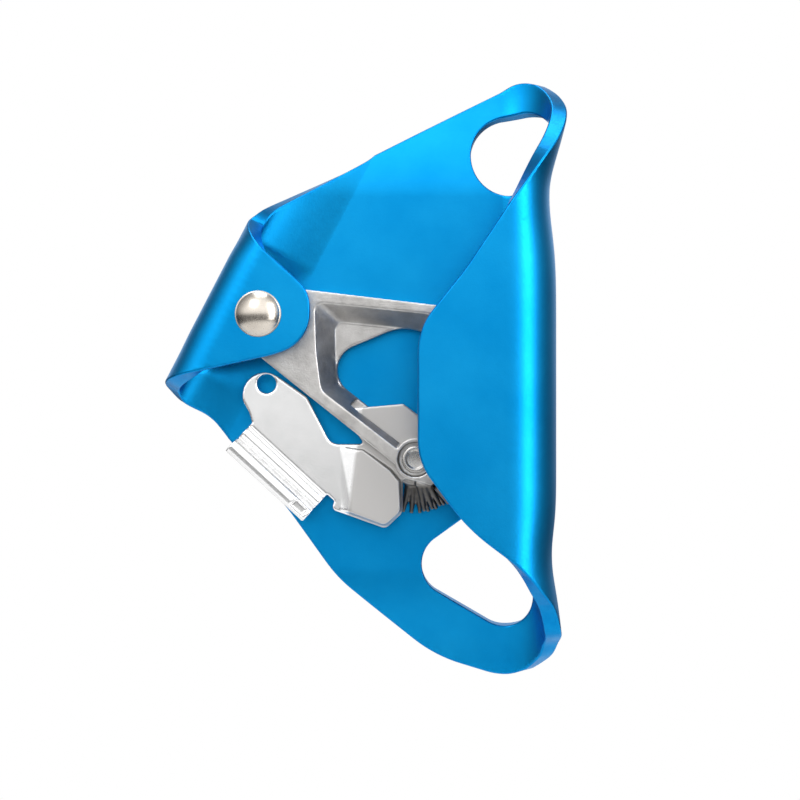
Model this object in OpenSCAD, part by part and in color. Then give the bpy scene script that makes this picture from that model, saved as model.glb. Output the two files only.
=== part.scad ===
// Chest ascender: a bent sheet frame, a toothed cam on a rivet and a catch on the cam.
// Millimetres. +Z runs up the rope, +X is the rope side, -Y is the front.
// The origin is the centre of the lower attachment eye, on the back face of the plate.

/* [Sheet frame] */
// Thickness of the frame's sheet
sheet_t = 3.5; // [3.2:0.1:3.6]
// Clear depth of the rope channel, from the back plate to the rope flap
channel_gap = 15; // [14.6:0.1:15.4]
// Clear depth of the cam fold, from the back plate to the rivet flap
cam_gap = 9.5; // [9.3:0.1:10]
// Inner radius of both bends of the cam fold
cam_bend_r = 3; // [2.6:0.1:3]
// Tilt of the cam fold from the rope's line
fold_tilt = 27.4; // [26:0.1:29]
// How far the sheet flares outwards at the top end
top_flare = 3.4; // [2:0.1:4]
// How far the sheet flares outwards at the bottom end
bottom_flare = 1.6; // [1:0.1:2]
// Tilt of the two attachment eyes, square to the flared sheet
eye_tilt = 14; // [8:1:16]

/* [Cam] */
// Radius of the cam's hub
hub_r = 6.7; // [6.4:0.1:6.8]
// Thickness of the cam's arm, centred in the cam fold
cam_t = 7.8; // [7.6:0.1:7.8]
// Outer radius of the bush that the cam turns on
bush_r = 3.3; // [3.2:0.1:3.4]
// Running clearance of the cam on its bush, on the radius
bush_play = 0.04; // [0.02:0.01:0.06]
// Height of the teeth on the gripping face
tooth_h = 3.2; // [2:0.1:3.4]
// Angle between two rows of teeth on the gripping face
tooth_step = 4.5; // [4:0.5:6]

/* [Catch] */
// Thickness of the catch's plate
catch_t = 2; // [1.8:0.1:2]
// Radius of the hole for the pull cord
cord_hole_r = 2; // [1.8:0.1:2.2]
// Radius of the catch's pin
pin_r = 1.5; // [1.4:0.1:1.6]
// Height of the thumb tab in front of the catch's back face
tab_h = 6.5; // [5:0.5:7]

/* [Rivet] */
// Radius of the rivet's shank
shank_r = 2.5; // [2.4:0.1:2.6]
// Radius of the rivet's domed head
rivet_head_r = 4.75; // [4.5:0.05:5]
// Height of the rivet's domed head
rivet_head_h = 2.3; // [1.8:0.1:2.5]

/* [Hidden] */
$fn = 64;
eps = 0.01;

// Rope channel: one bend of 180 degrees about a vertical line
bend_x = 4.4;
bend_in = channel_gap / 2;
bend_out = bend_in + sheet_t;
bend_y = -bend_out;
flare_top_z = 79;
flare_top_len = 25;
flare_bottom_z = 1;
flare_bottom_len = 21;
flare_steps = 10;
sheet_top = 106;
sheet_bottom = -25;

// Cam fold: two bends of 90 degrees about lines that lean by fold_tilt
rivet = [-46.1, 53.7];
fold_side = 11.3;
fold_out = cam_bend_r + sheet_t;
fold_mid_y = -sheet_t - cam_gap / 2;
fold_back = -sheet_t - cam_gap - sheet_t;

// Layers of the cam, from the back to the front
cam_back = fold_mid_y + cam_t / 2;
cam_front = fold_mid_y - cam_t / 2;
slot_back = -7.45;
slot_front = -9.95;
catch_back = -7.7;
catch_front = catch_back - catch_t;

// Gripping face: a small arc about the catch's pin runs on into a large arc
pin = [-13.8, 23.7];
toe_r = 11.5;
toe_angle = -60;
face_r = 39.1;
face = pin + (toe_r - face_r) * [cos(toe_angle), sin(toe_angle)];
face_top = 8;
crown_r = 8;
face_half_w = 4.4;

// Arc that rounds corner b, given as [x, z, radius], between neighbours a and c
function unit(v) = v / norm(v);
function flat(p) = [p[0], p[1]];
function corner(a, b, c, steps = 7) =
    b[2] == 0 ? [flat(b)] :
    let (u = unit(flat(a) - flat(b)), v = unit(flat(c) - flat(b)), half = acos(u * v) / 2,
         centre = flat(b) + unit(u + v) * b[2] / sin(half),
         from = flat(b) + u * b[2] / tan(half) - centre,
         to = flat(b) + v * b[2] / tan(half) - centre,
         start = atan2(from[1], from[0]),
         turn = atan2(from[0] * to[1] - from[1] * to[0], from * to))
    [for (i = [0:steps]) centre + b[2] * [cos(start + turn * i / steps), sin(start + turn * i / steps)]];
function outline(points) = let (n = len(points))
    [for (i = [0:n - 1]) each corner(points[(i + n - 1) % n], points[i], points[(i + 1) % n])];

// Smooth rise from 0 to 1
function rise(u) = let (k = min(1, max(0, u))) k * k * (3 - 2 * k);
function flare(z) = top_flare * rise((z - flare_top_z) / flare_top_len)
    + bottom_flare * rise((flare_bottom_z - z) / flare_bottom_len);
flare_z = concat(
    [sheet_bottom],
    [for (i = [0:flare_steps]) flare_bottom_z - flare_bottom_len * (1 - i / flare_steps)],
    [for (i = [0:flare_steps]) flare_top_z + flare_top_len * i / flare_steps],
    [sheet_top]);

// Front view of the plate, each point with the radius of its corner
plate_points = [
    [-75, 39.2, 0], [-66.1, 39.2, 0.5], [-63.8, 35.9, 3], [-57.4, 32.8, 12], [-40.2, 12.4, 60],
    [-30.4, -1.3, 30], [-9.5, -18.2, 30], [5.4, -22.7, 16], [15.6, -18.2, 4], [16.4, -13.6, 0],
    [24, -13.6, 0], [24, 96.2, 0], [18.2, 96.2, 0], [16, 101.8, 5], [9.4, 103.8, 9], [-22, 87.7, 120],
    [-46.4, 75.8, 4], [-48.6, 73.4, 0], [-60, 73.4, 0]];
// Front view of the rope flap
rope_flap_points = [
    [24, 96.2, 0], [18.2, 96.2, 0], [15.2, 92.4, 8], [4.6, 76.6, 60], [-3.6, 62.8, 60], [-13.4, 50.5, 14],
    [-13.4, 23.5, 13], [-3.4, 9.9, 40], [8.6, -0.7, 30], [15, -8.6, 8], [16.4, -13.6, 0], [24, -13.6, 0]];
// Front view of the rivet flap, in the cam fold's own frame
rivet_flap_points = [
    [-16, 17, 0], [-8.8, 13.2, 2], [7.2, 9, 7], [12.2, -0.2, 8.4], [6.2, -6.4, 6], [-10.2, -20, 2],
    [-16, -22, 0]];
// Attachment eyes: circles [x, z, radius] whose common outline is the opening
upper_eye = [[6.3, 87.4, 8.3], [10.2, 90.2, 6.2]];
lower_eye = [[-5.8, 1.4, 6.6], [0.2, 6.2, 6.2], [5.2, -4.6, 7]];

// A front view, pushed along Y from y0 forwards to y1
module front_to_back(y0, y1) {
    translate([0, y0, 0])
        rotate([90, 0, 0])
            linear_extrude(y0 - y1)
                children();
}

module sheet_profile() {
    polygon(concat(
        [for (z = flare_z) [bend_out + flare(z), z]],
        [for (i = [len(flare_z) - 1:-1:0]) [bend_in + flare(flare_z[i]), flare_z[i]]]));
}

module sheet_wall(length) {
    translate([bend_x - length, 0, 0])
        rotate([90, 0, 90])
            linear_extrude(length)
                sheet_profile();
}

module rope_side() {
    intersection() {
        translate([0, bend_y, 0]) {
            translate([bend_x, 0, 0])
                rotate_extrude(angle = 90, start = 0)
                    sheet_profile();
            sheet_wall(66);
        }
        front_to_back(12, bend_y)
            polygon(outline(plate_points));
    }
    intersection() {
        translate([0, bend_y, 0]) {
            translate([bend_x, 0, 0])
                rotate_extrude(angle = 90, start = -90)
                    sheet_profile();
            mirror([0, 1, 0])
                sheet_wall(30);
        }
        front_to_back(bend_y, -32)
            polygon(outline(rope_flap_points));
    }
}

// Places its children in the tilted frame of the cam fold
module cam_fold_frame() {
    translate([rivet[0], 0, rivet[1]])
        rotate([0, fold_tilt, 0])
            children();
}

module fold_bend(y) {
    translate([fold_out - fold_side, y])
        difference() {
            circle(fold_out);
            circle(cam_bend_r);
        }
}

module fold_section() {
    flat_x = fold_out - fold_side;
    translate([-fold_side, fold_back + fold_out])
        square([sheet_t, -fold_back - 2 * fold_out]);
    intersection() {
        fold_bend(-fold_out);
        translate([-fold_side, -fold_out])
            square([fold_out, fold_out]);
    }
    intersection() {
        fold_bend(fold_back + fold_out);
        translate([-fold_side, fold_back])
            square([fold_out, fold_out]);
    }
    translate([flat_x, -sheet_t])
        square([1, sheet_t]);
    translate([flat_x, fold_back])
        square([22, sheet_t]);
}

module cam_side() {
    intersection() {
        cam_fold_frame()
            translate([0, 0, -30])
                linear_extrude(60)
                    fold_section();
        front_to_back(1, fold_back / 2)
            polygon(outline(plate_points));
    }
    intersection() {
        cam_fold_frame()
            translate([0, 0, -30])
                linear_extrude(60)
                    fold_section();
        cam_fold_frame()
            front_to_back(fold_back / 2, fold_back - 1)
                polygon(outline(rivet_flap_points));
    }
}

module eye(circles, tilt) {
    translate([0, 0, circles[0][1]])
        rotate([tilt, 0, 0])
            translate([0, 0, -circles[0][1]])
                front_to_back(14, bend_y)
                    hull()
                        for (c = circles)
                            translate([c[0], c[1]])
                                circle(c[2], $fn = 48);
}

module rivet_axis(y) {
    translate([rivet[0], y, rivet[1]])
        rotate([90, 0, 0])
            children();
}

module pin_axis(y) {
    translate([pin[0], y, pin[1]])
        rotate([90, 0, 0])
            children();
}

module frame_plate() {
    color("DodgerBlue")
        difference() {
            union() {
                difference() {
                    rope_side();
                    cam_fold_frame()
                        translate([-60 + fold_out - fold_side + 0.5, -8, -60])
                            cube([60, 20, 120]);
                }
                cam_side();
            }
            eye(upper_eye, -eye_tilt);
            eye(lower_eye, eye_tilt);
            rivet_axis(1)
                cylinder(r = shank_r, h = 20);
        }
}

// Domed head in front of the rivet flap, shank through both walls, upset head behind the plate
module cam_rivet() {
    dome_r = (rivet_head_r * rivet_head_r + rivet_head_h * rivet_head_h) / (2 * rivet_head_h);
    upset_r = 3.8;
    upset_h = 1.1;
    color("Silver") {
        rivet_axis(upset_h)
            cylinder(r = shank_r, h = upset_h - fold_back + 0.5);
        rivet_axis(upset_h)
            cylinder(r1 = upset_r - 0.5, r2 = upset_r, h = upset_h);
        rivet_axis(fold_back)
            intersection() {
                translate([0, 0, rivet_head_h - dome_r])
                    sphere(dome_r);
                cylinder(r = rivet_head_r + 1, h = rivet_head_h + 1);
            }
    }
}

washer_t = 0.6;
washer_r = 5;
washer_gap = 0.05;

module cam_bush() {
    color("Goldenrod")
        rivet_axis(-sheet_t)
            difference() {
                cylinder(r = bush_r, h = cam_gap);
                translate([0, 0, -1])
                    cylinder(r = shank_r, h = cam_gap + 2);
            }
}

module thrust_washer() {
    difference() {
        cylinder(r = washer_r, h = washer_t);
        translate([0, 0, -1])
            cylinder(r = bush_r, h = washer_t + 2);
    }
}

module front_washer() {
    color("DimGray")
        rivet_axis(-sheet_t - cam_gap + washer_t)
            thrust_washer();
}

module back_washer() {
    color("DimGray")
        rivet_axis(-sheet_t)
            thrust_washer();
}

// Front view of the whole cam without its teeth
top_edge = [[-44.75, 59.85], [6.3, 53.76]];
edge_start = [-47.6, 46.2];
edge_end = [-17.6, 22.3];
cam_core_r = 5.6;
base_r = face_r - tooth_h;
body_r = base_r - 2;

module cam_outline(core_r) {
    translate(rivet)
        circle(hub_r);
    translate(pin)
        circle(core_r);
    polygon(concat(
        [rivet, top_edge[0], top_edge[1]],
        [for (a = [face_top:-4:toe_angle]) face + body_r * [cos(a), sin(a)]],
        [pin + [0, -core_r], edge_end, edge_start]));
}

// Pocket in the cam's front: its mouth, and its smaller floor
pocket_mouth = [[-34.8, 56.3, 1.6], [-34.5, 46, 40], [-33.4, 37.9, 3], [-16.6, 25.1, 0], [-5, 28, 3], [-1, 52.9, 3]];
pocket_floor = [[-30.6, 52.5, 2], [-30.5, 45, 20], [-30, 39.4, 2], [-15, 27.8, 0], [-6, 30, 2], [-4, 49.6, 2]];
window = [[-24.8, 42.3, 5.3], [-16, 41.1, 9.8], [-11.5, 41.3, 8.4]];

module pocket() {
    difference() {
        hull() {
            front_to_back(cam_front, cam_front - 0.02)
                polygon(outline(pocket_mouth));
            front_to_back(slot_back, slot_back - 0.02)
                polygon(outline(pocket_floor));
        }
        pin_axis(cam_back)
            cylinder(r = pin_boss_r, h = 20);
    }
}

pin_boss_r = 4.4;
pin_head_r = 2.8;
pin_head_h = 0.9;
recess_r = 3.64;
recess_depth = 1.3;
nose_reach = 17.6;

// Room for the catch, behind the cam's diagonal rib
module catch_slot() {
    front_to_back(slot_back, slot_front) {
        translate(pin)
            circle(pin_boss_r + 0.1);
        intersection() {
            translate(pin)
                circle(nose_reach);
            translate(pin)
                polygon([[0, 0], [10, 12], [5, 30], [-30, 30], [-30, -30], [0, -30]]);
        }
    }
}

module face_axis() {
    translate([face[0], bend_y, face[1]])
        rotate([90, 0, 0])
            children();
}

module grip_block() {
    inner_r = base_r - crown_r;
    face_axis()
        rotate([0, 0, toe_angle + 2])
            rotate_extrude(angle = face_top - toe_angle - 2)
                intersection() {
                    translate([inner_r, 0])
                        circle(crown_r);
                    translate([inner_r, -face_half_w])
                        square([crown_r + 1, 2 * face_half_w]);
                }
}

module tooth(centre, y, angle, from_r, to_r) {
    base = 0.95;
    tip = 0.4;
    translate([centre[0], y, centre[1]])
        rotate([0, 90 - angle, 0])
            translate([0, 0, from_r])
                cylinder(r1 = base, r2 = tip, h = to_r - from_r, $fn = 16);
}

module teeth() {
    row_y = 2.9;
    for (i = [0:floor((face_top - 4 - toe_angle) / tooth_step)]) {
        angle = toe_angle + 2 + i * tooth_step;
        rows = i % 2 == 0 ? [-row_y, 0, row_y] : [-row_y / 2, row_y / 2];
        for (y = rows) {
            drop = crown_r - sqrt(crown_r * crown_r - y * y);
            tooth(face, bend_y + y, angle, base_r - drop - 0.6, face_r - drop);
        }
    }
    for (i = [0:5])
        tooth(pin, (cam_back + slot_back) / 2, -103 + 9 * i, cam_core_r - 0.6, toe_r);
    for (i = [0:2])
        tooth(pin, -8.9, -80 + 9 * i, cam_core_r - 0.6, toe_r - 0.4);
}

spring_recess_r = 5.6;
spring_recess_depth = 2.9;
catch_spring_recess_r = 3.6;

module cam() {
    color("LightGray")
        difference() {
            union() {
                front_to_back(cam_back, slot_front)
                    cam_outline(cam_core_r);
                front_to_back(slot_front, cam_front)
                    cam_outline(pin_boss_r);
                grip_block();
                teeth();
            }
            pocket();
            catch_slot();
            front_to_back(cam_back + 1, slot_back - 1)
                hull()
                    for (c = window)
                        translate([c[0], c[1]])
                            circle(c[2], $fn = 48);
            rivet_axis(0)
                cylinder(r = bush_r + bush_play, h = 20);
            rivet_axis(cam_back + 1)
                cylinder(r = spring_recess_r, h = spring_recess_depth + 1);
            pin_axis(0)
                cylinder(r = pin_r, h = 20);
            pin_axis(cam_front + recess_depth)
                cylinder(r = recess_r, h = 8);
            pin_axis(slot_back + 1.9)
                cylinder(r = catch_spring_recess_r, h = 1.9);
        }
}

// Close-wound torsion spring, as a round wire swept along its coil and two straight legs
function coil_path(r, turns, pitch, start, leg) =
    let (steps = ceil(turns * 18),
         coil = [for (i = [0:steps]) let (a = start + 360 * turns * i / steps)
                 [r * cos(a), r * sin(a), pitch * turns * i / steps]],
         end = start + 360 * turns)
    concat(
        [coil[0] + leg * [sin(start), -cos(start), 0]],
        coil,
        [coil[steps] + leg * [-sin(end), cos(end), 0]]);

module wire(path, wire_r) {
    sides = 8;
    n = len(path);
    function along(i) = unit(path[min(i + 1, n - 1)] - path[max(i - 1, 0)]);
    function side(i) = unit(cross(along(i), [0, 0, 1]));
    function up(i) = cross(side(i), along(i));
    points = [for (i = [0:n - 1], k = [0:sides - 1])
        path[i] + wire_r * (cos(360 * k / sides) * side(i) + sin(360 * k / sides) * up(i))];
    faces = concat(
        [[for (k = [0:sides - 1]) k]],
        [for (i = [0:n - 2], k = [0:sides - 1])
            [i * sides + k, (i + 1) * sides + k, (i + 1) * sides + (k + 1) % sides, i * sides + (k + 1) % sides]],
        [[for (k = [sides - 1:-1:0]) (n - 1) * sides + k]]);
    polyhedron(points, faces);
}

cam_wire_r = 0.4;
cam_coil_r = 4.5;
catch_wire_r = 0.3;
catch_coil_r = 2.6;

module cam_spring() {
    color("SlateGray")
        rivet_axis(cam_back - 0.5)
            wire(coil_path(cam_coil_r, 2.25, 0.85, 200, 0.6), cam_wire_r);
}

module catch_spring() {
    color("SlateGray")
        pin_axis(slot_back + 1.5)
            wire(coil_path(catch_coil_r, 1.75, 0.65, 140, 0.4), catch_wire_r);
}

// Front views of the catch: its plate with the nose, and the raised part beside the pin
catch_points = [
    [-49.8, 46, 4.6], [-36.4, 36.6, 2], [-31.4, 26.8, 2.6], [-24.4, 26.8, 0.5], [-28.4, 32.6, 0.4],
    [-27.7, 34.2, 0.3], [-16.3, 35.2, 0.4], [-13, 32.7, 0.5], [-11, 25, 1], [-13, 20.2, 1],
    [-16.4, 19.4, 0.5], [-16.4, 12.6, 2.4], [-20, 9.2, 1.4], [-31.2, 13.2, 1], [-30.7, 15, 0],
    [-47.6, 30.6, 0], [-48.4, 33.4, 2], [-49.8, 36, 2]];
raised_points = [
    [-25.4, 26.1, 0.6], [-19.1, 21.3, 1], [-17.2, 19, 0.6], [-17, 12.9, 2.2], [-20.2, 10.1, 1.4],
    [-27, 12.7, 0.5]];
slope_points = [
    [-29.4, 26.5, 0.6], [-18.9, 21.6, 1], [-16.8, 19.1, 0.6], [-16.6, 12.7, 2.3], [-20, 9.5, 1.4],
    [-29.6, 13, 1]];
raise = 1.5;
hinge_line = [[-47.6, 30.6], [-30.7, 15]];
cord_hole = [-44.8, 39.4];

// Section of the thumb tab: outwards from the plate's edge, and forwards from its back face
tab_section = [
    [-0.8, 0.1], [0.3, 0], [3.8, 0], [5, -0.6], [6.9, -0.6], [7.4, 0], [7.4, tab_h - 1.1], [6.8, tab_h - 0.2],
    [5.9, tab_h], [4.7, tab_h - 0.2], [4.1, tab_h - 1], [3.9, catch_t + 0.5], [3.5, catch_t + 0.2],
    [3.1, catch_t + 1.1], [2.3, catch_t + 1.4], [1.3, catch_t + 1.1], [0.8, catch_t - 0.3],
    [0.4, catch_t - 0.3], [0.2, catch_t], [-0.8, catch_t]];

module thumb_tab() {
    along = unit(hinge_line[1] - hinge_line[0]);
    length = 21.6;
    notch = [3.4, 1.9, 1.6];
    translate([hinge_line[0][0], catch_back, hinge_line[0][1]])
        rotate([0, atan2(-along[1], along[0]), 0])
            difference() {
                translate([length - 0.6, 0, 0])
                    rotate([90, 90, -90])
                        linear_extrude(length)
                            polygon(tab_section);
                translate([length - 0.6 - notch[0] - 0.8, -tab_h - 0.1, -6.7])
                    cube([notch[0], notch[2], notch[1]]);
            }
}

module catch() {
    color("Gainsboro")
        difference() {
            union() {
                front_to_back(catch_back, catch_front)
                    polygon(outline(catch_points));
                hull() {
                    front_to_back(catch_front + 0.1, catch_front)
                        polygon(outline(slope_points));
                    front_to_back(catch_front, catch_front - raise)
                        polygon(outline(raised_points));
                }
                thumb_tab();
            }
            pin_axis(0)
                cylinder(r = pin_r + 0.05, h = 20);
            translate([cord_hole[0], 0, cord_hole[1]])
                rotate([90, 0, 0])
                    cylinder(r = cord_hole_r, h = 20);
        }
}

module catch_pin() {
    color("Silver") {
        pin_axis(cam_back)
            cylinder(r = pin_r, h = cam_back - cam_front - recess_depth + pin_head_h);
        pin_axis(cam_front + recess_depth)
            difference() {
                cylinder(r = pin_head_r, h = pin_head_h);
                translate([0, 0, pin_head_h - 0.3])
                    cylinder(r = 1.9, h = 1);
            }
    }
}

frame_plate();
cam_rivet();
cam_bush();
front_washer();
back_washer();
cam();
cam_spring();
catch();
catch_pin();
catch_spring();
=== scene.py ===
"""Looks of a chest ascender: a bent anodised sheet, a toothed cast cam and a polished catch, in metres."""

import math

import bmesh
import bpy
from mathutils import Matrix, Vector
from mathutils.geometry import tessellate_polygon


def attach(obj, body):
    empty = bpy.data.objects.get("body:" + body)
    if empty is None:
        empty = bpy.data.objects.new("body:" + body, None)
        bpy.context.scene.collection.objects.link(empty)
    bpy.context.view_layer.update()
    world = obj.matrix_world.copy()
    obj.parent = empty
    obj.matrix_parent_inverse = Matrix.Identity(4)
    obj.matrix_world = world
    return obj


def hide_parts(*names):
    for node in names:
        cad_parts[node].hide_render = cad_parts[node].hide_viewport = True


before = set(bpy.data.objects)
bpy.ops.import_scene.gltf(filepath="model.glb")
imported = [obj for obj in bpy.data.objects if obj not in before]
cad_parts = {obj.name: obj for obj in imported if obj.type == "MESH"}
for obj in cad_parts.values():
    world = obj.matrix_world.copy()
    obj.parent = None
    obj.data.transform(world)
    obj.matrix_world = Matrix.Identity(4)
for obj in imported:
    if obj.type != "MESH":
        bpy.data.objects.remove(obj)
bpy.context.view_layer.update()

MM = 0.001

# The photograph's viewpoint, square to the plate
CAMERA_AT = (-0.017, -0.450, 0.036)
SENSOR = 36
LENS = 95.2

# Sheet, in millimetres, as in the CAD source
SHEET_T = 3.5
ROPE_LINE = 4.4
ROPE_IN = 7.5
ROPE_MID = ROPE_IN + SHEET_T / 2
ROPE_OUT = ROPE_IN + SHEET_T
ROPE_Y = -ROPE_OUT
ROPE_ARC = math.pi * ROPE_MID
RIVET = Vector((-46.1, 53.7))
TILT = math.radians(27.4)
FOLD_LINE = -4.8
FOLD_MID = 3 + SHEET_T / 2
FOLD_OUT = 3 + SHEET_T
FOLD_SIDE = 3.5
FOLD_ARC = FOLD_MID * math.pi / 2
FOLD_HALF = FOLD_ARC + FOLD_SIDE / 2
TOP_FLARE = (79, 25, 3.4)
BOTTOM_FLARE = (1, -21, 1.6)
NECKS = ((78, 10, 1.4), (4, 7, 0.9))
FOLD_WIDENING = ((9, 17, 0.6), (7.5, 14, 1.0))
WIDE_BEFORE = 10.3
WIDE_CURVE = ((5.5, -1.75), (2.5, -1.75), (-9.3, -5.6), (-9.55, -8.25))
EDGE_R = 0.4
EDGE_STEPS = 4

# Cuts of the blank: along both bends, across the cam fold, and up the sheet
FOLD_CUTS = 40
FOLD_ROWS = 30
FOLD_ROWS_START = -24
FOLD_ROW = 1.7
ROPE_CUTS = 30
LEVELS = 54
LEVELS_START = -25
LEVEL = 2.5

PLATE_BELOW = [
    (16.4, -13.6, 0), (15.6, -17.6, 3), (11.6, -20.9, 5), (5.2, -22.7, 14), (-9.5, -18.2, 30),
    (-30.4, -1.3, 30), (-40.2, 12.4, 60), (-57.4, 32.8, 12), (-63.8, 35.9, 3), (-66.1, 39.2, 0)]
PLATE_ABOVE = [
    (-48.6, 73.4, 0), (-46.4, 75.8, 4), (-22, 87.7, 120), (9.4, 103.8, 9), (15.4, 102.2, 5),
    (17.5, 99, 4), (18.2, 96.2, 0)]
ROPE_FLAP = [
    (18.2, 96.2, 0), (17.6, 94, 3), (15.9, 90, 10), (5.4, 76.3, 60), (-3.6, 62.8, 60),
    (-13.4, 50.5, 14), (-13.4, 23.5, 13), (-3.4, 9.9, 40), (8.6, 0.9, 30), (15.6, -7.8, 8), (16.4, -13.6, 0)]
RIVET_FLAP = [
    (-11.3, -22, 0), (-10.2, -20, 2), (6.2, -6.4, 6), (12.2, -0.2, 8.4), (7.2, 9, 7), (-8.8, 13.2, 8),
    (-11.3, 16.3, 0)]
UPPER_EYE = [(6.3, 87.4, 8.3), (10.2, 90.2, 6.2)]
LOWER_EYE = [(-5.8, 1.4, 6.6), (0.2, 6.2, 6.2), (5.2, -4.6, 7)]
SHANK_R = 2.5


def rounded(points, steps=8):
    """Open line through (x, z, corner radius) points, with an arc at each corner."""
    made = [Vector(points[0][:2])]
    for before, (x, z, radius), after in zip(points, points[1:-1], points[2:]):
        here = Vector((x, z))
        u = (Vector(before[:2]) - here).normalized()
        v = (Vector(after[:2]) - here).normalized()
        half = u.angle(v) / 2
        centre = here + (u + v).normalized() * radius / math.sin(half)
        start = here + u * radius / math.tan(half) - centre
        end = here + v * radius / math.tan(half) - centre
        turn = math.atan2(start.x * end.y - start.y * end.x, start.dot(end))
        for k in range(steps + 1):
            a = turn * k / steps
            c, s = math.cos(a), math.sin(a)
            made.append(centre + Vector((start.x * c - start.y * s, start.x * s + start.y * c)))
    return made + [Vector(points[-1][:2])]


def spaced(line, step=0.8, closed=False):
    """The line with more points, at most a step apart."""
    made = []
    ends = line[1:] + line[:1] if closed else line[1:]
    for a, b in zip(line, ends):
        count = max(1, math.ceil((b - a).length / step))
        made += [a.lerp(b, k / count) for k in range(count)]
    return made if closed else made + [line[-1]]


def circles_hull(circles, count=96):
    """Outline round a set of (x, z, radius) circles."""
    made = []
    for k in range(count):
        d = Vector((math.cos(math.tau * k / count), math.sin(math.tau * k / count)))
        x, z, r = max(circles, key=lambda c: c[0] * d.x + c[1] * d.y + c[2])
        made.append(Vector((x, z)) + r * d)
    return made


def rise(u):
    k = min(1, max(0, u))
    return k * k * (3 - 2 * k)


def flare(z):
    return sum(height * rise((z - start) / length) for start, length, height in (TOP_FLARE, BOTTOM_FLARE))


def neck(z):
    return -sum(depth * math.exp(-(((z - at) / width) ** 2)) for at, width, depth in NECKS)


def to_fold(p):
    """Front-view point in the cam fold's own frame, whose second axis is the bend line."""
    d = p - RIVET
    c, s = math.cos(TILT), math.sin(TILT)
    return Vector((d.x * c - d.y * s, d.x * s + d.y * c))


def from_fold(q):
    c, s = math.cos(TILT), math.sin(TILT)
    return RIVET + Vector((q.x * c + q.y * s, -q.x * s + q.y * c))


def arc_of(reach, radius):
    return math.asin(min(1, max(0, reach / radius)))


def flat_plate(p, radius=ROPE_OUT):
    """Place on the flat blank of a front-view point of the plate, or of the near half of either bend."""
    if p.x > ROPE_LINE:
        return Vector((ROPE_LINE + ROPE_MID * arc_of(p.x - ROPE_LINE, radius + flare(p.y)), p.y))
    q = to_fold(p)
    if q.x < FOLD_LINE + WIDE_BEFORE:
        return unfolded(q, -WIDE_BEFORE - 1)
    return p


def flat_rope_flap(p):
    if p.x < ROPE_LINE:
        return Vector((ROPE_LINE + ROPE_ARC + ROPE_LINE - p.x, p.y))
    return Vector((ROPE_LINE + ROPE_ARC - ROPE_MID * arc_of(p.x - ROPE_LINE, ROPE_OUT + flare(p.y)), p.y))


def flat_rivet_flap(q):
    return unfolded(q, 2 * FOLD_HALF + 30)


def unfolded(q, end):
    """Place on the blank of a point of the cam fold, between the fold's middle and the end of one side."""
    middle = FOLD_HALF
    for _ in range(30):
        along = (middle + end) / 2
        if fold_face(along, q.y) < q.x:
            middle = along
        else:
            end = along
    return from_fold(Vector((FOLD_LINE - middle, q.y)))


def folded(x, offset, z):
    """Place in space of a point of the blank that lies offset behind the sheet's middle."""
    q = to_fold(Vector((x, z)))
    if q.x < FOLD_LINE + WIDE_BEFORE:
        return folded_cam(FOLD_LINE - q.x, offset, q.y)
    along = max(0, x - ROPE_LINE)
    a = min(math.pi, along / ROPE_MID)
    push = flare(z) + neck(z) * math.sin(a) ** 2
    slope = (flare(z + 0.1) - flare(z - 0.1)) / 0.2
    square = 1 / math.hypot(1, slope)
    reach = ROPE_MID + push + offset * square
    flat = min(x - ROPE_LINE, 0) - max(0, along - ROPE_ARC)
    across = ROPE_LINE + flat + reach * math.sin(a)
    return Vector((across, ROPE_Y + reach * math.cos(a), z - offset * slope * square))


def narrow_section(along):
    """Middle of the sheet across the cam fold where it grips the cam: across, and backwards."""
    side = min(FOLD_SIDE, max(0, along - FOLD_ARC))
    a = min(math.pi, max(0, along - side) / FOLD_MID)
    flat = max(0, along - 2 * FOLD_ARC - FOLD_SIDE) - min(0, along)
    return Vector((FOLD_LINE - FOLD_MID * math.sin(a) + flat, -FOLD_OUT - side + FOLD_MID * math.cos(a)))


def wide_section(along):
    """The same at the fold's ends, where the plate leans into the fold in one long curve."""
    if along > FOLD_HALF:
        a = min(1, (along - FOLD_HALF) / FOLD_HALF) * math.pi / 2
        flat = max(0, along - 2 * FOLD_HALF)
        deep = FOLD_OUT + FOLD_SIDE / 2 - SHEET_T / 2
        return Vector((FOLD_LINE - FOLD_MID * math.cos(a) + flat, WIDE_CURVE[3][1] - deep * math.sin(a)))
    t = max(0, (along + WIDE_BEFORE) / (FOLD_HALF + WIDE_BEFORE))
    weights = ((1 - t) ** 3, 3 * t * (1 - t) ** 2, 3 * t * t * (1 - t), t ** 3)
    flat = max(0, -WIDE_BEFORE - along)
    return sum((w * Vector(p) for w, p in zip(weights, WIDE_CURVE)), Vector((flat, 0)))


def fold_section(along, v):
    start, end, share = FOLD_WIDENING[v > 0]
    wide = share * rise((abs(v) - start) / (end - start))
    return narrow_section(along).lerp(wide_section(along), wide)


def fold_ahead(along, v):
    return (fold_section(along + 0.05, v) - fold_section(along - 0.05, v)).normalized()


def fold_face(along, v):
    """How far across the sheet's outer face is there."""
    return fold_section(along, v).x + fold_ahead(along, v).y * SHEET_T / 2


def folded_cam(along, offset, v):
    ahead = fold_ahead(along, v)
    p = fold_section(along, v) + Vector((ahead.y, -ahead.x)) * offset
    place = from_fold(Vector((p.x, v)))
    flatness = max(0, -ahead.x)
    slope = (flare(place.y + 0.1) - flare(place.y - 0.1)) / 0.2 * flatness
    return Vector((place.x, p.y + flare(place.y) * flatness, place.y - offset * slope))


def eased(line, corners, reach=10, rounds=30):
    """The closed line, smoothed near the corners."""
    near = [min((p - c).length for c in corners) < reach for p in line]
    for _ in range(rounds):
        line = [
            p.lerp((line[k - 1] + line[(k + 1) % len(line)]) / 2, 0.5) if near[k] else p
            for k, p in enumerate(line)]
    return line


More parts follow.
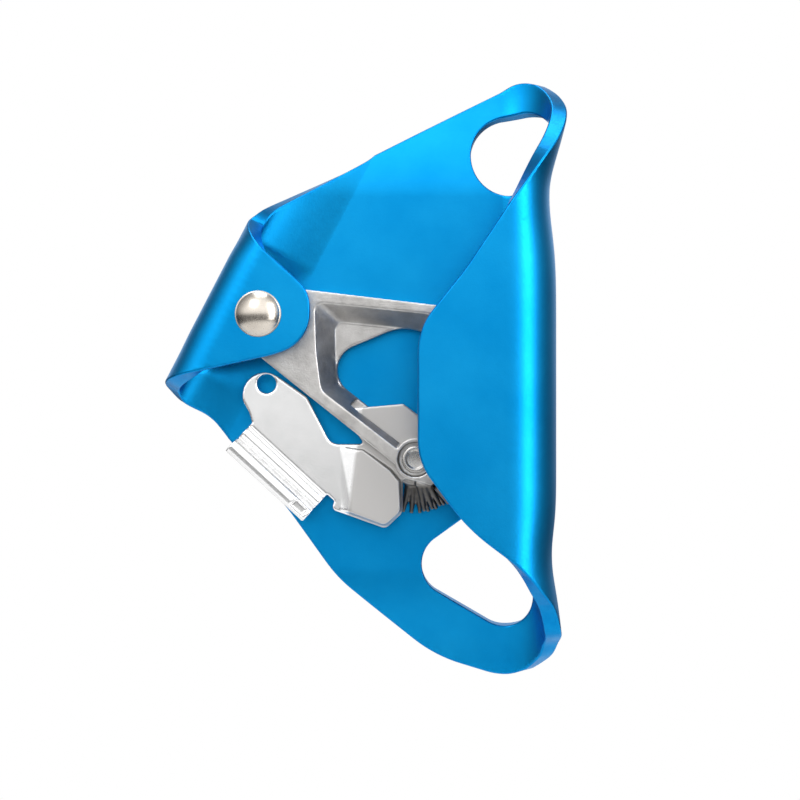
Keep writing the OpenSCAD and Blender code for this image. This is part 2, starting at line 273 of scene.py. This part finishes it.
def turned(line, outer):
    """The closed line, with the sheet on its left."""
    area = sum(a.x * b.y - b.x * a.y for a, b in zip(line, line[1:] + line[:1]))
    return line if (area > 0) == outer else line[::-1]


def rim(bm, line):
    """Rings of a rounded edge through the sheet's thickness, from its back face to its front face."""
    half = SHEET_T / 2
    quarter = [math.pi / 2 * k / EDGE_STEPS for k in range(EDGE_STEPS + 1)]
    back = [(EDGE_R * (1 - math.sin(a)), half - EDGE_R * (1 - math.cos(a))) for a in quarter]
    profile = back + [(inset, -offset) for inset, offset in reversed(back)]
    inward = []
    for k, p in enumerate(line):
        t = (line[(k + 1) % len(line)] - line[k - 1]).normalized()
        inward.append(Vector((-t.y, t.x)))
    rings = []
    for inset, offset in profile:
        moved = [p + n * inset for p, n in zip(line, inward)]
        rings.append([bm.verts.new((p.x, offset, p.y)) for p in moved])
    for a, b in zip(rings, rings[1:]):
        for k in range(len(line)):
            face = bm.faces.new((a[k - 1], a[k], b[k], b[k - 1]))
            face.material_index = 1
    return rings


def cut(bm, at, normal, chosen=None):
    """Cuts the faces whose centres are chosen, or all of them, along a plane."""
    faces = [f for f in bm.faces if chosen is None or chosen(f.calc_center_median())]
    edges = {e for f in faces for e in f.edges}
    verts = {v for f in faces for v in f.verts}
    bmesh.ops.bisect_plane(bm, geom=[*verts, *edges, *faces], plane_co=at, plane_no=normal)


def in_cam_fold(c):
    return to_fold(Vector((c.x, c.z))).x < FOLD_LINE + WIDE_BEFORE


def in_rope_bend(c):
    return c.x > ROPE_LINE


def in_bend_or_flare(c):
    return in_rope_bend(c) or c.z > TOP_FLARE[0] or c.z < BOTTOM_FLARE[0]


def cut_grid(bm):
    """Cuts the blank finely where it bends or flares; a series starts with a cut of every face."""
    leaning = from_fold(Vector((-1, 0))) - RIVET
    fold_length = 2 * FOLD_ARC + FOLD_SIDE + WIDE_BEFORE
    for line in range(FOLD_CUTS + 1):
        p = from_fold(Vector((FOLD_LINE + WIDE_BEFORE - fold_length * line / FOLD_CUTS, 0)))
        cut(bm, (p.x, 0, p.y), (leaning.x, 0, leaning.y), in_cam_fold if line else None)
    across = from_fold(Vector((0, 1))) - RIVET
    for line in range(FOLD_ROWS):
        p = from_fold(Vector((0, FOLD_ROWS_START + FOLD_ROW * line)))
        cut(bm, (p.x, 0, p.y), (across.x, 0, across.y), in_cam_fold)
    for line in range(ROPE_CUTS + 1):
        x = ROPE_LINE + ROPE_ARC * line / ROPE_CUTS
        cut(bm, (x, 0, 0), (1, 0, 0), in_rope_bend if line else None)
    for z in (TOP_FLARE[0], BOTTOM_FLARE[0]):
        cut(bm, (0, 0, z), (0, 0, 1))
    for line in range(LEVELS):
        cut(bm, (0, 0, LEVELS_START + LEVEL * line), (0, 0, 1), in_bend_or_flare)


def new_object(name, data, material):
    made = bpy.data.objects.new(name, data)
    bpy.context.scene.collection.objects.link(made)
    if material:
        data.materials.append(material)
    return made


def mesh_object(name, bm, material):
    bmesh.ops.recalc_face_normals(bm, faces=bm.faces)
    for face in bm.faces:
        face.smooth = True
    data = bpy.data.meshes.new(name)
    bm.to_mesh(data)
    bm.free()
    return new_object(name, data, material)


def build_sheet(material, shaded_edge_material):
    parts = (
        (PLATE_BELOW, flat_plate), (RIVET_FLAP, flat_rivet_flap),
        (PLATE_ABOVE, flat_plate), (ROPE_FLAP, flat_rope_flap))
    outer = []
    for points, flat in parts:
        outer += [flat(p) for p in spaced(rounded(points))]
    tidy = [p for k, p in enumerate(outer) if (p - outer[k - 1]).length > 0.15]
    tidy = eased(spaced(tidy, closed=True), [flat(Vector(points[0][:2])) for points, flat in parts])
    shank = circles_hull([(0, 0, SHANK_R)], 40)
    holes = [
        [flat_plate(p, ROPE_MID) for p in spaced(circles_hull(UPPER_EYE), closed=True)],
        [flat_plate(p, ROPE_MID) for p in spaced(circles_hull(LOWER_EYE), closed=True)],
        [RIVET + p for p in shank],
        [flat_rivet_flap(p) for p in shank]]
    lines = [turned(tidy, True)] + [turned(h, False) for h in holes]
    bm = bmesh.new()
    rims = [rim(bm, line) for line in lines]
    for side in (0, -1):
        rings = [r[side] for r in rims]
        verts = [v for ring in rings for v in ring]
        for triangle in tessellate_polygon([[Vector((v.co.x, v.co.z, 0)) for v in ring] for ring in rings]):
            bm.faces.new([verts[k] for k in triangle])
    cut_grid(bm)
    for v in bm.verts:
        v.co = folded(v.co.x, v.co.y, v.co.z) * MM
    bmesh.ops.remove_doubles(bm, verts=bm.verts, dist=0.002 * MM)
    sheet = mesh_object("frame_sheet", bm, material)
    sheet.data.materials.append(shaded_edge_material)
    weighted = sheet.modifiers.new("Weighted", "WEIGHTED_NORMAL")
    weighted.weight = 80
    return sheet


def cast_copy(name, node, material, voxel, rounds):
    """A copy of a CAD node with its edges rounded by a fine remesh."""
    bm = bmesh.new()
    bm.from_mesh(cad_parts[node].data)
    bmesh.ops.remove_doubles(bm, verts=bm.verts, dist=0.001 * MM)
    made = mesh_object(name, bm, material)
    remesh = made.modifiers.new("Remesh", "REMESH")
    remesh.mode = "VOXEL"
    remesh.voxel_size = voxel * MM
    remesh.use_smooth_shade = True
    smooth = made.modifiers.new("Smooth", "SMOOTH")
    smooth.factor = 0.5
    smooth.iterations = rounds
    return made


def lathe(name, profile, centre, material, count=72):
    """Turned piece about the Y axis: profile holds (radius, y) points in millimetres."""
    bm = bmesh.new()
    rings = []
    turn = [math.tau * k / count for k in range(count)]
    for radius, y in profile:
        ring = []
        for a in turn if radius else turn[:1]:
            place = Vector((centre.x + radius * math.cos(a), y, centre.y + radius * math.sin(a)))
            ring.append(bm.verts.new(place * MM))
        rings.append(ring)
    for a, b in zip(rings, rings[1:]):
        for k in range(count):
            if len(a) == 1:
                bm.faces.new((a[0], b[k], b[k - 1]))
            elif len(b) == 1:
                bm.faces.new((a[k - 1], a[k], b[0]))
            else:
                bm.faces.new((a[k - 1], a[k], b[k], b[k - 1]))
    return mesh_object(name, bm, material)


# Materials

def node_material(name):
    made = bpy.data.materials.new(name)
    made.use_nodes = True
    tree = made.node_tree
    tree.nodes.clear()
    shader = tree.nodes.new("ShaderNodeBsdfPrincipled")
    out = tree.nodes.new("ShaderNodeOutputMaterial")
    tree.links.new(shader.outputs["BSDF"], out.inputs["Surface"])
    return made, tree, shader


def noise(tree, scale_per_mm, detail, roughness):
    """Noise over object coordinates, with its scale in features per millimetre."""
    coords = tree.nodes.new("ShaderNodeTexCoord")
    texture = tree.nodes.new("ShaderNodeTexNoise")
    texture.inputs["Scale"].default_value = scale_per_mm / MM
    texture.inputs["Detail"].default_value = detail
    texture.inputs["Roughness"].default_value = roughness
    tree.links.new(coords.outputs["Object"], texture.inputs["Vector"])
    return texture.outputs["Fac"]


def ramp(tree, factor, stops):
    """Colour ramp of (position, colour) stops; a number stands for a grey."""
    made = tree.nodes.new("ShaderNodeValToRGB")
    elements = made.color_ramp.elements
    while len(elements) < len(stops):
        elements.new(0.5)
    for element, (at, value) in zip(elements, stops):
        element.position = at
        element.color = (*value, 1) if isinstance(value, tuple) else (value, value, value, 1)
    tree.links.new(factor, made.inputs["Fac"])
    return made.outputs["Color"]


def bump(tree, shader, height, strength, distance):
    """A small relief, with its depth in millimetres."""
    made = tree.nodes.new("ShaderNodeBump")
    made.inputs["Strength"].default_value = strength
    made.inputs["Distance"].default_value = distance * MM
    tree.links.new(height, made.inputs["Height"])
    tree.links.new(made.outputs["Normal"], shader.inputs["Normal"])


def metal(name, dark, light, rough, grain, patch, grain_strength, grain_depth, metallic=1.0):
    """Metal with slow patches of tone, a fine grain in its surface and an uneven gloss."""
    made, tree, shader = node_material(name)
    shader.inputs["Metallic"].default_value = metallic
    slow = noise(tree, patch, 4, 0.6)
    tree.links.new(ramp(tree, slow, [(0.3, dark), (0.7, light)]), shader.inputs["Base Color"])
    fine = noise(tree, grain, 2, 0.6)
    tree.links.new(ramp(tree, fine, [(0.25, rough[0]), (0.75, rough[1])]), shader.inputs["Roughness"])
    bump(tree, shader, fine, grain_strength, grain_depth)
    return made, tree, shader


def front_view(tree):
    """Object coordinates with the depth left out."""
    coords = tree.nodes.new("ShaderNodeTexCoord")
    flat = tree.nodes.new("ShaderNodeMapping")
    flat.inputs["Scale"].default_value = (1, 0, 1)
    tree.links.new(coords.outputs["Object"], flat.inputs["Vector"])
    return flat.outputs["Vector"]


def beyond(tree, centre, radius, blur):
    """1 outside a circle of the front view, in millimetres, and 0 inside."""
    far = tree.nodes.new("ShaderNodeVectorMath")
    far.operation = "DISTANCE"
    far.inputs[1].default_value = (centre[0] * MM, 0, centre[1] * MM)
    tree.links.new(front_view(tree), far.inputs[0])
    return spread(tree, far.outputs["Value"], (radius - blur) * MM, (radius + blur) * MM)


def side_of(tree, point, normal, blur):
    """1 on the normal's side of a line of the front view through a point, and 0 on the other."""
    dot = tree.nodes.new("ShaderNodeVectorMath")
    dot.operation = "DOT_PRODUCT"
    dot.inputs[1].default_value = (normal[0], 0, normal[1])
    tree.links.new(front_view(tree), dot.inputs[0])
    at = point[0] * normal[0] + point[1] * normal[1]
    return spread(tree, dot.outputs["Value"], (at - blur) * MM, (at + blur) * MM)


def spread(tree, value, low, high):
    """The value, mapped from low..high to 0..1 and held there."""
    made = tree.nodes.new("ShaderNodeMapRange")
    made.inputs["From Min"].default_value = low
    made.inputs["From Max"].default_value = high
    tree.links.new(value, made.inputs["Value"])
    return made.outputs["Result"]


def change(tree, shader, socket, mask, value):
    """Goes over to another colour or number where the mask is 1."""
    target = shader.inputs[socket]
    mix = tree.nodes.new("ShaderNodeMix")
    mix.data_type = "RGBA"
    colour = value if isinstance(value, tuple) else (value, value, value)
    mix.inputs["B"].default_value = (*colour, 1)
    tree.links.new(mask, mix.inputs["Factor"])
    tree.links.new(target.links[0].from_socket, mix.inputs["A"])
    tree.links.new(mix.outputs["Result"], target)


blue, _, _ = metal(
    "anodised_blue", (0.002, 0.25, 0.60), (0.006, 0.31, 0.68),
    (0.32, 0.42), 2.6, 0.05, 0.5, 0.03)
# The sheet's cut edges: a rougher finish, and a darker blue than the faces, which is painted shade
blue_edge_painted_shade, _, _ = metal(
    "anodised_cut_edge_painted_shade", (0.002, 0.20, 0.52), (0.005, 0.26, 0.60),
    (0.32, 0.48), 3, 0.3, 0.4, 0.03)
cast, cast_tree, cast_shader = metal(
    "tumbled_cast_steel", (0.42, 0.41, 0.40), (0.60, 0.59, 0.575),
    (0.28, 0.48), 2.6, 0.3, 0.6, 0.06)
polished, polished_tree, polished_shader = metal(
    "polished_steel", (0.84, 0.84, 0.84), (0.90, 0.90, 0.90),
    (0.14, 0.26), 3.5, 0.25, 0.2, 0.02,
    metallic=0.85)
nickel, _, _ = metal(
    "satin_nickel", (0.52, 0.475, 0.42), (0.62, 0.57, 0.505),
    (0.20, 0.30), 3.0, 0.35, 0.15, 0.02)
pin_steel, _, _ = metal(
    "pin_steel", (0.42, 0.41, 0.395), (0.55, 0.54, 0.52),
    (0.22, 0.36), 4, 0.5, 0.3, 0.02)
bronze, _, _ = metal(
    "sintered_bronze", (0.42, 0.24, 0.10), (0.56, 0.34, 0.15),
    (0.30, 0.48), 6, 0.5, 0.4, 0.03)
washer_steel, _, _ = metal(
    "washer_steel", (0.30, 0.30, 0.30), (0.42, 0.42, 0.41),
    (0.24, 0.38), 4, 0.4, 0.3, 0.02)
wire_steel, _, _ = metal(
    "spring_wire", (0.34, 0.34, 0.35), (0.48, 0.48, 0.48),
    (0.16, 0.30), 5, 0.5, 0.25, 0.01)


# Painted shade on the cam: the teeth outside the face arc, and all of the cam below the pin, are coloured
# dark where they sit in shadow
PIN = (-13.8, 23.7)
TOOTH_PAINTED_SHADE = (0.13, 0.125, 0.12)
tooth_shade_masks = (
    beyond(cast_tree, (-27.6, 47.6), 35.9, 0.4),
    side_of(cast_tree, (PIN[0], PIN[1] - 5.2), (0, -1), 0.5))
for mask in tooth_shade_masks:
    change(cast_tree, cast_shader, "Base Color", mask, TOOTH_PAINTED_SHADE)

# The catch's lobe has a grey blasted face beside the polished arm
lobe = side_of(polished_tree, (-26.8, 20), (0.99, -0.13), 0.35)
change(polished_tree, polished_shader, "Base Color", lobe, (0.52, 0.51, 0.50))
change(polished_tree, polished_shader, "Roughness", lobe, 0.42)

# Pieces

sheet = build_sheet(blue, blue_edge_painted_shade)
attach(sheet, "frame")
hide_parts("frame_plate")

cam = cast_copy("cast_cam", "cam", cast, 0.22, 3)
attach(cam, "cam")
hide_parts("cam")

catch = cast_copy("catch_lever", "catch", polished, 0.18, 3)
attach(catch, "catch")
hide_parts("catch")

DOME_R = 6.05
DOME_Y = -18.8 + DOME_R
rim_angle = math.asin(4.66 / DOME_R)
DOME_STEPS = 14
dome = []
for step in range(DOME_STEPS + 1):
    angle = rim_angle * step / DOME_STEPS
    dome.append((DOME_R * math.sin(angle), DOME_Y - DOME_R * math.cos(angle)))
rivet = lathe("rivet", [
    (0, 1.1), (2.9, 1.1), (3.3, 1.0), (3.65, 0.6), (3.8, 0.25), (3.8, 0), (2.5, 0), (2.5, -16.5),
    (4.6, -16.5), (4.73, -16.58), (4.74, -16.7), *dome[::-1]], RIVET, nickel)
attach(rivet, "frame")
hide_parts("cam_rivet")

pin = lathe("catch_pivot", [
    (0, -4.35), (1.4, -4.35), (1.5, -4.45), (1.5, -10.85), (2.7, -10.85), (2.8, -10.95), (2.8, -11.55),
    (2.72, -11.68), (2.6, -11.75), (2.1, -11.75), (1.98, -11.7), (1.9, -11.58), (1.82, -11.47), (1.7, -11.45),
    (0, -11.45)], Vector(PIN), pin_steel)
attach(pin, "cam")
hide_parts("catch_pin")

for node, material in (
        ("cam_bush", bronze), ("front_washer", washer_steel), ("back_washer", washer_steel),
        ("cam_spring", wire_steel), ("catch_spring", wire_steel)):
    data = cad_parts[node].data
    data.materials.clear()
    data.materials.append(material)

# Camera, floor and light

scene = bpy.context.scene
camera_data = bpy.data.cameras.new("camera")
camera_data.sensor_width = SENSOR
camera_data.lens = LENS
camera = bpy.data.objects.new("camera", camera_data)
camera.location = CAMERA_AT
camera.rotation_euler = (math.pi / 2, 0, 0)
scene.collection.objects.link(camera)
scene.camera = camera

FLOOR_Z = -0.12
FLOOR_R = 0.34
bm = bmesh.new()
bmesh.ops.create_circle(bm, cap_ends=True, segments=96, radius=FLOOR_R)
floor_material, floor_tree, floor_shader = node_material("pale_floor")
floor_shader.inputs["Base Color"].default_value = (0.86, 0.86, 0.86, 1)
floor_shader.inputs["Roughness"].default_value = 0.8
floor = mesh_object("floor", bm, floor_material)
floor.location = (-0.02, 0, FLOOR_Z)


def softbox(name, at, aim, size, power):
    data = bpy.data.lights.new(name, "AREA")
    data.shape = "RECTANGLE"
    data.size, data.size_y = size
    data.energy = power
    light = bpy.data.objects.new(name, data)
    light.location = at
    light.rotation_euler = (Vector(aim) - Vector(at)).to_track_quat("-Z", "Y").to_euler()
    scene.collection.objects.link(light)


CENTRE = (-0.02, -0.008, 0.04)
softbox("key", (-0.35, -0.75, 0.75), CENTRE, (0.5, 0.5), 2.5)
softbox("right_strip", (0.65, -0.50, 0.20), CENTRE, (0.32, 0.9), 4.2)
softbox("top", (0.0, 0.0, 0.95), CENTRE, (0.6, 0.5), 3.5)

world = bpy.data.worlds.new("studio")
world.use_nodes = True
scene.world = world
tree = world.node_tree
tree.nodes.clear()
direction = tree.nodes.new("ShaderNodeTexCoord")
split = tree.nodes.new("ShaderNodeSeparateXYZ")
tree.links.new(direction.outputs["Generated"], split.inputs["Vector"])


round_about = ramp(tree, spread(tree, split.outputs["Y"], 1, -1), [
    (0.0, 0.7), (0.1, 0.55), (0.22, 0.16), (0.42, 0.15), (0.62, 0.45), (0.80, 0.95), (1.0, 1.0)])
up_down = ramp(tree, spread(tree, split.outputs["Z"], -0.5, 0.5), [
    (0.0, 0.30), (0.30, 0.16), (0.42, 0.20), (0.60, 1.5), (1.0, 1.6)])
both = tree.nodes.new("ShaderNodeMix")
both.data_type = "RGBA"
both.blend_type = "MULTIPLY"
both.inputs["Factor"].default_value = 1
tree.links.new(round_about, both.inputs["A"])
tree.links.new(up_down, both.inputs["B"])
studio = tree.nodes.new("ShaderNodeBackground")
tree.links.new(both.outputs["Result"], studio.inputs["Color"])
studio.inputs["Strength"].default_value = 1.05
white = tree.nodes.new("ShaderNodeBackground")
white.inputs["Color"].default_value = (1, 1, 1, 1)
path = tree.nodes.new("ShaderNodeLightPath")
mix = tree.nodes.new("ShaderNodeMixShader")
out = tree.nodes.new("ShaderNodeOutputWorld")
tree.links.new(path.outputs["Is Camera Ray"], mix.inputs["Fac"])
tree.links.new(studio.outputs["Background"], mix.inputs[1])
tree.links.new(white.outputs["Background"], mix.inputs[2])
tree.links.new(mix.outputs["Shader"], out.inputs["Surface"])

scene.view_settings.view_transform = "Standard"
scene.view_settings.look = "None"
